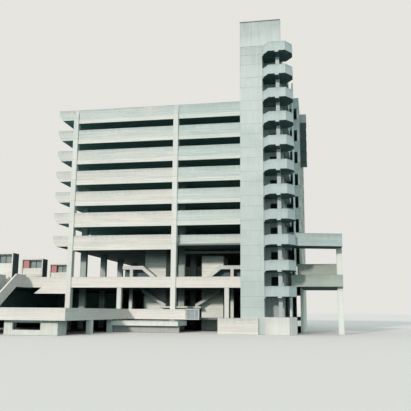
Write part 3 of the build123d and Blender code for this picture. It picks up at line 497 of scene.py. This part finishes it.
def name_solids(mesh):
    """Number the separate solids of a piece in a face layer, and return the top of each."""
    layer = mesh.faces.layers.int.new("solid")
    tops = []
    for face in mesh.faces:
        face[layer] = -1
    for seed in mesh.faces:
        if seed[layer] >= 0:
            continue
        number = len(tops)
        top = -1e9
        waiting = [seed]
        seed[layer] = number
        while waiting:
            face = waiting.pop()
            for vertex in face.verts:
                top = max(top, vertex.co.z)
            for edge in face.edges:
                for other in edge.link_faces:
                    if other[layer] < 0:
                        other[layer] = number
                        waiting.append(other)
        tops.append(top)
    return layer, tops


def cut(mesh, faces, place, normal):
    """Split the faces along a plane, and return all that come of them."""
    parts = set(faces)
    for face in faces:
        parts.update(face.edges)
        parts.update(face.verts)
    result = bmesh.ops.bisect_plane(mesh, geom=list(parts), dist=MERGE, plane_co=place, plane_no=normal)
    return [item for item in result["geom"] if isinstance(item, bmesh.types.BMFace)]


def cut_joint(mesh, faces, place, axis):
    """Split the faces along both edges of a day joint."""
    for side in (-0.5, 0.5):
        faces = cut(mesh, faces, axis * (place + side * JOINT_WIDTH), axis)
    return faces


def reach(faces, axis):
    """Lowest and highest place of some faces along an axis."""
    values = [vertex.co.dot(axis) for face in faces for vertex in face.verts]
    return min(values), max(values)


def even_places(low, high, pitch):
    """Places that divide a length into equal shares of about a pitch."""
    count = max(1, round((high - low) / pitch))
    return [lerp(low, high, number / count) for number in range(1, count)]


def sort_rows(faces, axis, places):
    """Gather faces by the row that they lie in."""
    rows = {}
    for face in faces:
        middle = face.calc_center_median().dot(axis)
        rows.setdefault(sum(1 for place in places if place < middle), []).append(face)
    return rows


def board_panel(mesh, faces, upright, lifts, chance, width, groove):
    """Divide a flat panel into boards, and return the boards and the day joints."""
    normal = faces[0].normal.copy()
    along = UP.cross(normal).normalized()
    low, high = reach(faces, UP)
    for lift in lifts:
        if low + JOINT_WIDTH < lift < high - JOINT_WIDTH:
            faces = cut_joint(mesh, faces, lift, UP)
    groove_at = along.x * groove if groove and normal.y < -STRAIGHT_ON else None
    if groove_at is not None:
        faces = cut_joint(mesh, faces, groove_at, along)
    if upright:
        left, right = reach(faces, along)
        for place in even_places(left, right, width):
            faces = cut(mesh, faces, along * place, along)
    else:
        rows_at = even_places(low, high, width)
        for place in rows_at:
            faces = cut(mesh, faces, UP * place, UP)
        cells = []
        for row in sort_rows(faces, UP, rows_at).values():
            left, right = reach(row, along)
            place = left + BOARD_LENGTH * chance.uniform(*FIRST_BOARD)
            while place < right - BOARD_LENGTH * SHORTEST_BOARD:
                row = cut(mesh, row, along * place, along)
                place += BOARD_LENGTH * chance.uniform(*NEXT_BOARD)
            cells.extend(row)
        faces = cells
    near = JOINT_WIDTH * 0.4
    boards = []
    joints = []
    for face in faces:
        middle = face.calc_center_median()
        in_groove = groove_at is not None and abs(middle.dot(along) - groove_at) < near
        if in_groove or any(abs(middle.z - lift) < near for lift in lifts):
            joints.append(face)
        else:
            boards.append(face)
    return boards, joints


def sink(mesh, faces, width, depth, tone, ring_tone):
    """Press faces in inside a narrow ring, and give the ring a tone."""
    ring = bmesh.ops.inset_individual(mesh, faces=faces, thickness=width, depth=-depth, use_even_offset=True)
    for face in ring["faces"]:
        face[tone] = ring_tone


def print_boards(mesh, facing=(LEFT, RIGHT, FRONT, BACK), upright=False, lifts=(), seed=1, width=BOARD_WIDTH,
                 groove=None, contrast=1.0):
    """Print boards on every upright panel of a piece that looks one of the given ways."""
    chance = random.Random(seed)
    solid, tops = name_solids(mesh)
    tone = mesh.faces.layers.float.new("board_tone_and_painted_shade")
    panels = {}
    for face in mesh.faces:
        normal = face.normal
        if abs(normal.z) > STEEPEST or face.calc_area() < SMALLEST_PANEL:
            continue
        if max(normal.dot(Vector(way)) for way in facing) < FACING:
            continue
        plane = round(normal.dot(face.calc_center_median()), 3)
        key = (face[solid], round(normal.x, 2), round(normal.y, 2), round(normal.z, 2), plane)
        panels.setdefault(key, []).append(face)
    boards = []
    joints = []
    for key in sorted(panels):
        some_boards, some_joints = board_panel(mesh, panels[key], upright, lifts, chance, width, groove)
        boards.extend(some_boards)
        joints.extend(some_joints)
    depths = {depth: [] for depth in BOARD_DEPTHS}
    for face in boards:
        face[tone] = chance.uniform(*BOARD_TONES) * contrast
        depths[chance.choice(BOARD_DEPTHS)].append(face)
    for depth, faces in depths.items():
        sink(mesh, faces, FIN_WIDTH, depth, tone, FIN_TONE * contrast)
    if joints:
        sink(mesh, joints, JOINT_WIDTH * JOINT_SLOPE, JOINT_DEPTH, tone, JOINT_TONE * contrast)
        for face in joints:
            face[tone] = JOINT_TONE * contrast
    below = mesh.verts.layers.float.new("below_top")
    for face in mesh.faces:
        for vertex in face.verts:
            vertex[below] = tops[face[solid]] - vertex.co.z
    mesh.faces.layers.int.remove(mesh.faces.layers.int["solid"])


def darken_below(mesh, height, share):
    """Paint shade on the boards below a height, taking a share of the light off them."""
    tone = mesh.faces.layers.float["board_tone_and_painted_shade"]
    for face in mesh.faces:
        if face.calc_center_median().z < height:
            face[tone] -= share


def mark_inside(mesh, node):
    """Mark the faces that look into the room that a ring of walls closes, for painted shade."""
    inside = mesh.faces.layers.float.new("inside")
    low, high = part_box(node)
    middle = (low + high) / 2
    for face in mesh.faces:
        inward = middle - face.calc_center_median()
        face[inside] = 1.0 if face.normal.xy.dot(inward.xy) > 0 else 0.0


def to_object(mesh, name, material, replaced=()):
    """Turn a finished mesh into a piece of the part."""
    data = bpy.data.meshes.new(name)
    mesh.to_mesh(data)
    mesh.free()
    data.materials.append(material)
    piece = bpy.data.objects.new(name, data)
    bpy.context.scene.collection.objects.link(piece)
    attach(piece, "root")
    if replaced:
        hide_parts(*replaced)


def cast(mesh, node, material, slot, shade=None, room=None, **boards):
    """Finish a mesh as cast concrete, in the place of a CAD node.

    shade is a height and the share of the light that painted shade takes off the boards below it; room is the
    node whose inside gets marked for painted shade.
    """
    chamfer(mesh)
    print_boards(mesh, **boards)
    if shade:
        darken_below(mesh, *shade)
    if room:
        mark_inside(mesh, room)
    to_object(mesh, "cast_" + node, material, (node,))


def cast_piece(node, material, slot, **finish):
    """A CAD node dressed as cast concrete."""
    cast(clean_copy(node), node, material, slot, **finish)


def solid_boxes(node):
    """Lowest and highest corner of each separate solid of a CAD node, from the lowest and front ones on."""
    mesh = clean_copy(node)
    layer, tops = name_solids(mesh)
    boxes = [(Vector((1e9, 1e9, 1e9)), Vector((-1e9, -1e9, -1e9))) for top in tops]
    for face in mesh.faces:
        lowest, highest = boxes[face[layer]]
        for vertex in face.verts:
            for axis in range(3):
                lowest[axis] = min(lowest[axis], vertex.co[axis])
                highest[axis] = max(highest[axis], vertex.co[axis])
    mesh.free()
    return sorted(boxes, key=lambda box: (round(box[0].z, 3), box[0].y))


def bars_tree():
    """Geometry nodes: a round bar from a start to an end, set out again and again by a step."""
    tree = bpy.data.node_groups.new("row_of_bars", "GeometryNodeTree")
    for label, kind in (("Start", "Vector"), ("End", "Vector"), ("Radius", "Float"), ("Sides", "Int"),
                        ("Count", "Int"), ("Step", "Vector"), ("Material", "Material")):
        tree.interface.new_socket(label, in_out="INPUT", socket_type="NodeSocket" + kind)
    tree.interface.new_socket("Bars", in_out="OUTPUT", socket_type="NodeSocketGeometry")
    given = tree.nodes.new("NodeGroupInput").outputs
    line = tree.nodes.new("GeometryNodeCurvePrimitiveLine")
    ring = tree.nodes.new("GeometryNodeCurvePrimitiveCircle")
    bar = add_node(tree, "GeometryNodeCurveToMesh", {"Fill Caps": True})
    row = add_node(tree, "GeometryNodeMeshLine", mode="OFFSET")
    place = tree.nodes.new("GeometryNodeInstanceOnPoints")
    real = tree.nodes.new("GeometryNodeRealizeInstances")
    finish = tree.nodes.new("GeometryNodeSetMaterial")
    result = tree.nodes.new("NodeGroupOutput")
    for source, target in ((given["Start"], line.inputs["Start"]), (given["End"], line.inputs["End"]),
                           (given["Sides"], ring.inputs["Resolution"]),
                           (given["Radius"], ring.inputs["Radius"]),
                           (line.outputs[0], bar.inputs["Curve"]),
                           (ring.outputs[0], bar.inputs["Profile Curve"]),
                           (given["Count"], row.inputs["Count"]), (given["Step"], row.inputs["Offset"]),
                           (row.outputs[0], place.inputs["Points"]),
                           (bar.outputs[0], place.inputs["Instance"]),
                           (place.outputs[0], real.inputs[0]), (real.outputs[0], finish.inputs["Geometry"]),
                           (given["Material"], finish.inputs["Material"]),
                           (finish.outputs[0], result.inputs[0])):
        join(tree, source, target)
    return tree


BARS = bars_tree()


def row_of_bars(start, end, radius, count, step, material, sides=8):
    """The bars of one row as a loose mesh."""
    holder = bpy.data.objects.new("bars", bpy.data.meshes.new("bars"))
    bpy.context.scene.collection.objects.link(holder)
    modifier = holder.modifiers.new("bars", "NODES")
    modifier.node_group = BARS
    values = {"Start": start, "End": end, "Radius": radius, "Sides": sides, "Count": count, "Step": step,
              "Material": material}
    for item in BARS.interface.items_tree:
        if item.in_out == "INPUT":
            modifier[item.identifier] = values[item.name]
    view = bpy.context.evaluated_depsgraph_get()
    mesh = bmesh.new()
    made = bpy.data.meshes.new_from_object(holder.evaluated_get(view))
    mesh.from_mesh(made)
    holder.modifiers.remove(modifier)
    bpy.data.objects.remove(holder)
    bpy.data.meshes.remove(made)
    return mesh


def gather(meshes):
    """One mesh out of several, with its faces turned outwards."""
    whole = bmesh.new()
    for mesh in meshes:
        loose = bpy.data.meshes.new("loose")
        mesh.to_mesh(loose)
        mesh.free()
        whole.from_mesh(loose)
        bpy.data.meshes.remove(loose)
    turn_outwards(whole)
    for face in whole.faces:
        face.material_index = 0
    return whole


def copy_face(mesh, face):
    """Close a loose face to a solid with a copy of it, and return the vertices of the copy."""
    raised = bmesh.ops.extrude_face_region(mesh, geom=[face])["geom"]
    return [item for item in raised if isinstance(item, bmesh.types.BMVert)]


def prism(mesh, points, low, high):
    """A closed upright prism over an outline in plan."""
    foot = mesh.faces.new([mesh.verts.new((x, y, low)) for x, y in points])
    for vertex in copy_face(mesh, foot):
        vertex.co.z = high


def rectangle(left, front, right, back):
    """The outline in plan of a box."""
    return [(left, front), (right, front), (right, back), (left, back)]


def make_parapets():
    """The long parapets of the decks, the wall at their right end and the one behind the open storey."""
    cast_piece("front_parapets_left_bay", FACADE, "facade_concrete", facing=(FRONT,), seed=11)
    cast_piece("front_parapets_right_bay", GREY_FACADE, "facade_concrete", facing=(FRONT,), seed=12)
    cast_piece("back_parapets", FACADE, "facade_concrete", facing=(BACK,), seed=13)
    # Painted shade on the low beam, the part of the recessed parapet below its top
    cast_piece("recessed_parapet", GREY_FACADE, "facade_concrete", facing=(FRONT,), seed=14,
               shade=(LOW_BEAM_TOP, LOW_BEAM_SHADE))
    cast_piece("left_end_parapets", FACADE, "facade_concrete", facing=(FRONT, LEFT, BACK), seed=15)
    cast_piece("right_wing_parapets", GREY_FACADE, "facade_concrete", seed=16)
    cast_piece("east_end_wall", FACADE, "facade_concrete", facing=(FRONT, RIGHT, BACK), seed=17,
               lifts=DECK_FLOORS, width=0.07)
    cast_piece("open_storey_back_wall", FACADE, "facade_concrete", seed=18)


def make_columns():
    """The columns from front to back, and the two stair cores."""
    for name, seed in (("front_columns", 21), ("back_columns", 22)):
        cast_piece(name, COLUMN, "facade_concrete", upright=True, lifts=DECK_FLOORS, seed=seed, width=0.08)
    cast_piece("inner_columns", INNER, "facade_concrete", upright=True, seed=23, width=0.1)
    for name, seed in (("left_core", 24), ("right_core", 25)):
        cast_piece(name, CORE, "facade_concrete", seed=seed, lifts=CORE_LIFTS)


def make_podium():
    """Everything cast from the ground up to the open storey, and the upper bridge."""
    for name, seed in (("podium_front_parapets", 31), ("terrace_parapets", 32), ("low_terrace_parapets", 33),
                       ("outside_stair_parapets", 34)):
        cast_piece(name, LOW_WALL, "low_wall_concrete", seed=seed, contrast=0.65)
    cast_piece("east_terrace_walls", EAST_WALL, "low_wall_concrete", seed=35, contrast=0.65)
    cast_piece("front_low_wall", FACADE, "low_wall_concrete", seed=36)
    cast_piece("upper_bridge", BRIDGE, "low_wall_concrete", seed=38)
    cast_piece("core_stair_landings", CORE, "deck_concrete", seed=39)
    for name, seed in (("undercroft_walls", 41), ("undercroft_piers", 42), ("bridge_pier", 43)):
        cast_piece(name, UNDERCROFT, "facade_concrete", upright=True, seed=seed)
    # Painted shade on the wall under the slab's edge
    cast_piece("forecourt_slab", FORECOURT, "facade_concrete", upright=True, seed=44, contrast=0.5,
               shade=(FORECOURT_UNDER, FORECOURT_SHADE))
    cast_piece("lower_storey_walls", LOWER_STOREY, "facade_concrete", seed=45, width=0.07,
               room="lower_storey_walls")
    cast_piece("terrace_window_boxes", LOW_WALL, "low_wall_concrete", seed=46)


def make_slate_panels():
    """Slate coloured sheets on the walls that close the raised stair landings at their back."""
    mesh = clean_copy("core_stair_landings")
    fronts = [face for face in mesh.faces
              if face.normal.y < -STRAIGHT_ON and face.calc_center_median().z > PODIUM_FLOOR]
    last = max(face.calc_center_median().y for face in fronts)
    sheets = bmesh.new()
    for face in fronts:
        if face.calc_center_median().y > last - 0.01:
            corners = [sheets.verts.new(vertex.co - Vector((0, SHEET, 0))) for vertex in face.verts]
            for vertex in copy_face(sheets, sheets.faces.new(corners)):
                vertex.co.y += SHEET
    mesh.free()
    turn_outwards(sheets)
    to_object(sheets, "slate_sheets", SLATE_PANEL)


def make_tower():
    """The tower, with a pair of day joints at each landing, and its head under a sheet coping."""
    lifts = []
    for low, high in solid_boxes("stair_landings"):
        lifts.append(low.z + LANDING_SLAB)
        lifts.append(low.z + LANDING_SLAB - LIFT_STEP)
    boards = {"upright": True, "lifts": lifts, "width": 0.075, "groove": TOWER_GROOVE, "contrast": 0.4}
    for name, seed in (("tower_shaft", 51), ("tower_door_jambs", 52), ("tower_door_lintels", 53)):
        cast_piece(name, TOWER, "tower_concrete", room="tower_shaft", seed=seed, **boards)
    mesh = clean_copy("tower_head")
    top = max(vertex.co.z for vertex in mesh.verts)
    for vertex in mesh.verts:
        if vertex.co.z > top - MERGE:
            vertex.co.z -= COPING
    roof = [face for face in mesh.faces
            if face.normal.z > STRAIGHT_ON and face.calc_center_median().z > top - ROOF_DEPTH]
    coping = coping_over(roof, top)
    cast(mesh, "tower_head", TOWER, "tower_concrete", seed=54, **boards)
    to_object(coping, "tower_coping", FLASHING)


def coping_over(roof, top):
    """Sheet metal over a flat roof, turned down a little past its edges."""
    mesh = bmesh.new()
    for face in roof:
        corners = []
        for loop in face.loops:
            before = (loop.vert.co - loop.link_loop_prev.vert.co).normalized()
            after = (loop.link_loop_next.vert.co - loop.vert.co).normalized()
            out = Vector((before.y + after.y, -before.x - after.x, 0))
            corners.append(loop.vert.co.xy + out.xy * COPING_LIP)
        prism(mesh, corners, top - COPING - COPING_DROP, top)
    turn_outwards(mesh)
    chamfer(mesh, COPING_ARRIS)
    return mesh


def make_landings():
    """The octagonal landings with their base and pier, and the walkways behind them."""
    for name, material in (("stair_landings", LANDING), ("landing_base", COLUMN), ("landing_pier", LANDING)):
        cast_piece(name, material, "landing_concrete", upright=True, seed=61, width=0.06, contrast=0.6)
    cast_piece("link_walkways", LINK, "landing_concrete", upright=True, seed=64, width=0.06)
    fill_corners("stair_landings", LANDING)
    fill_corners("landing_base", COLUMN)


def fill_corners(node, material):
    """Concrete that closes the notch between the tower's front and each octagon."""
    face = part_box("tower_shaft")[0].y
    fillets = bmesh.new()
    for low, high in solid_boxes(node):
        corner = low.y + CORNER_DEPTH
        width = CORNER_WIDTH * (corner - face) / CORNER_DEPTH
        prism(fillets, [(low.x, face), (low.x + width, face), (low.x, corner)], low.z, high.z)
    turn_outwards(fillets)
    to_object(fillets, node + "_corners", material)


def give_material(node, material):
    """A CAD node keeps its mesh and takes another finish."""
    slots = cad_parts[node].data.materials
    slots.clear()
    slots.append(material)


def dress_slabs():
    """Slabs and flights keep their CAD meshes and take the floor's finish."""
    for name in DECK_NODES[1:]:
        give_material(name, DECK)
    for name in (DECK_NODES[0], "podium_slab", "lower_floor", "outside_stair"):
        give_material(name, LOW_DECK)
    for name in ("left_flight", "right_flight"):
        give_material(name, CORE)


def make_windows():
    """Glass and red panels of the window boxes, with an apron, a red sheet and a frame before each."""
    give_material("window_box_glazing", GLASS)
    give_material("window_box_panels", RED_PANEL)
    heads = []
    mullions = []
    aprons = bmesh.new()
    reds = bmesh.new()
    for low, high in solid_boxes("window_box_glazing"):
        front = low.y - FRAME_BAR
        sill = low.z + APRON_TOP
        left = low.x - APRON_PAST
        apron_front = low.y - GLASS_SETBACK + APRON_SETBACK
        prism(aprons, rectangle(left, apron_front, high.x - APRON_END, front), low.z, sill)
        prism(reds, rectangle(left, apron_front + APRON_SETBACK, left + RED_WIDTH, front), sill, high.z)
        for z in (sill + FRAME_BAR, high.z - FRAME_BAR):
            heads.append(row_of_bars((low.x, front, z), (high.x, front, z), FRAME_BAR, 1, (0, 0, 0), APRON))
        first = low.x + FRAME_BAR
        step = (high.x - low.x - 2 * FRAME_BAR) / (MULLIONS - 1)
        mullions.append(row_of_bars((first, front, low.z), (first, front, high.z), FRAME_BAR, MULLIONS,
                                    (step, 0, 0), SLATE_PANEL))
    to_object(gather(heads), "window_heads", APRON)
    to_object(gather(mullions), "window_mullions", SLATE_PANEL)
    for sheets, name, material, slot in ((aprons, "window_aprons", APRON, "low_wall_concrete"),
                                         (reds, "red_sheets", RED_PANEL, "red_panel")):
        turn_outwards(sheets)
        chamfer(sheets, PANEL_ARRIS)
        to_object(sheets, name, material)


def make_cladding():
    """Ribbed sheets on the right side of each window box."""
    mesh = bmesh.new()
    for low, high in solid_boxes("terrace_window_boxes"):
        if high.x - low.x < WIDEST_POST:
            continue
        outline = [(high.x, high.y), (high.x, low.y)]
        count = max(1, round((high.y - low.y) / CLADDING_PITCH))
        pitch = (high.y - low.y) / count
        flat = high.x + CLADDING_RIB * CLADDING_FLAT
        for number in range(count):
            start = low.y + pitch * number
            for share, raised in RIB_PROFILE:
                outline.append((high.x + CLADDING_RIB if raised else flat, start + pitch * share))
        outline.append((flat, high.y))
        prism(mesh, outline, PODIUM_FLOOR, high.z - CLADDING_DROP)
    turn_outwards(mesh)
    to_object(mesh, "window_box_cladding", CLADDING)


def make_balcony():
    """Round rails and posts of the small balcony."""
    low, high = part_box("balcony_rail")
    middle = (low.y + high.y) / 2
    bottom = low.z + 0.06
    rails = row_of_bars((low.x, middle, bottom + 0.03), (high.x - POST_INSET, middle, bottom + 0.03),
                        RAIL_RADIUS, RAILS, (0, 0, (high.z - bottom - 0.07) / RAILS), RAIL)
    first = low.x + POST_INSET
    posts = row_of_bars((first, middle, bottom), (first, middle, high.z - 0.03), POST_RADIUS, POSTS,
                        ((high.x - low.x - 2 * POST_INSET) / (POSTS - 1), 0, 0), RAIL)
    to_object(gather([rails, posts]), "balcony_bars", RAIL)
    give_material("balcony_rail", RAIL)


def make_nosings():
    """Metal nosings on the outside stair."""
    mesh = clean_copy("outside_stair")
    treads = sorted((face for face in mesh.faces if face.normal.z > STRAIGHT_ON),
                    key=lambda face: face.calc_center_median().z)
    edges = [(min(vertex.co.y for vertex in face.verts), face.calc_center_median().z) for face in treads]
    mesh.free()
    low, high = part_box("outside_stair")
    step = (0, edges[1][0] - edges[0][0], edges[1][1] - edges[0][1])
    start = (low.x + NOSING_INSET, edges[0][0] + 0.008, edges[0][1] - 0.002)
    end = (high.x - NOSING_INSET,) + start[1:]
    strips = row_of_bars(start, end, NOSING_RADIUS, len(edges), step, FLASHING)
    to_object(gather([strips]), "stair_nosings", FLASHING)


def make_duct():
    """Sheet metal duct with creased panels between its flanges."""
    mesh = clean_copy("east_duct")
    low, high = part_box("east_duct")
    body = high.x - DUCT_BAND
    front = low.y + DUCT_BAND
    back = high.y - DUCT_BAND
    flanges = [lerp(low.z, high.z - DUCT_HEAD, share) for share in DUCT_JOINTS]
    bars = []
    for z in flanges:
        at = z + 0.03
        for start, end in (((low.x, front, at), (body, front, at)), ((body, front, at), (body, back, at)),
                           ((low.x, back, at), (body, back, at))):
            bars.append(row_of_bars(start, end, FLANGE_RADIUS, 2, (0, 0, FLANGE_STEP), DUCT))
    for z in flanges[1:]:
        faces = [face for face in mesh.faces if abs(face.normal.z) < 0.1]
        cut(mesh, faces, Vector((0, 0, z + 0.05)), UP)
    panels = [face for face in mesh.faces
              if abs(face.normal.z) < 0.1 and face.calc_area() > SMALLEST_CREASED]
    bmesh.ops.poke(mesh, faces=panels, offset=CREASE, center_mode="MEAN")
    to_object(mesh, "sheet_duct", DUCT, ("east_duct",))
    to_object(gather(bars), "duct_flanges", DUCT)


def seen_directly(tree):
    """1 for rays that show the background to the camera, in a reflection or through glass."""
    path = add_node(tree, "ShaderNodeLightPath")
    seen = math_node(tree, "MAXIMUM", path.outputs["Is Camera Ray"], path.outputs["Is Glossy Ray"])
    return math_node(tree, "MAXIMUM", seen, path.outputs["Is Transmission Ray"])


def make_stage():
    """Plain pale floor, which throws back little light."""
    mesh = bmesh.new()
    bmesh.ops.create_circle(mesh, cap_ends=True, segments=96, radius=FLOOR_RADIUS)
    data = bpy.data.meshes.new("studio_floor")
    mesh.to_mesh(data)
    mesh.free()
    material, tree, shader = new_material("studio_floor")
    colour = mix_colour(tree, seen_directly(tree), FLOOR_BOUNCE, FLOOR_SEEN)
    join(tree, colour, shader.inputs["Base Color"])
    shader.inputs["Roughness"].default_value = 0.9
    data.materials.append(material)
    floor = bpy.data.objects.new("studio_floor", data)
    bpy.context.scene.collection.objects.link(floor)


def make_light():
    """A low soft sun from the front left, and a cool even sky."""
    lamp = bpy.data.lights.new("soft_sun", "SUN")
    lamp.energy = SUN_STRENGTH
    lamp.color = SUN_COLOUR
    lamp.angle = SUN_SPREAD
    sun = bpy.data.objects.new("soft_sun", lamp)
    bpy.context.scene.collection.objects.link(sun)
    sun.rotation_mode = "QUATERNION"
    sun.rotation_quaternion = Vector(SUN_TRAVEL).to_track_quat("-Z", "Y")
    world = bpy.data.worlds.new("studio")
    bpy.context.scene.world = world
    world.use_nodes = True
    tree = world.node_tree
    tree.nodes.clear()
    colour = mix_colour(tree, seen_directly(tree), SKY_LIGHT, SKY_SEEN)
    shade = add_node(tree, "ShaderNodeBackground")
    join(tree, colour, shade.inputs["Color"])
    out = add_node(tree, "ShaderNodeOutputWorld")
    join(tree, shade.outputs[0], out.inputs["Surface"])


def make_camera():
    """The photograph's place, direction and field of view."""
    yaw, pitch, roll = CAMERA_YAW, CAMERA_PITCH, CAMERA_ROLL
    forward = Vector((math.sin(yaw) * math.cos(pitch), math.cos(yaw) * math.cos(pitch), math.sin(pitch)))
    right = Vector((math.cos(yaw), -math.sin(yaw), 0))
    up = right.cross(forward)
    turned_right = right * math.cos(roll) + up * math.sin(roll)
    turned_up = up * math.cos(roll) - right * math.sin(roll)
    data = bpy.data.cameras.new("camera")
    data.sensor_width = SENSOR
    data.lens = FOCAL_PIXELS / FRAME_PIXELS * SENSOR
    data.clip_end = FARTHEST
    camera = bpy.data.objects.new("camera", data)
    bpy.context.scene.collection.objects.link(camera)
    turn = Matrix((turned_right, turned_up, -forward)).transposed().to_4x4()
    camera.matrix_world = Matrix.Translation(CAMERA_PLACE) @ turn
    bpy.context.scene.camera = camera


make_camera()
make_light()
make_stage()
bpy.context.scene.view_settings.view_transform = "Standard"
make_parapets()
make_columns()
make_podium()
make_slate_panels()
make_tower()
make_landings()
dress_slabs()
make_windows()
make_cladding()
make_balcony()
make_nosings()
make_duct()
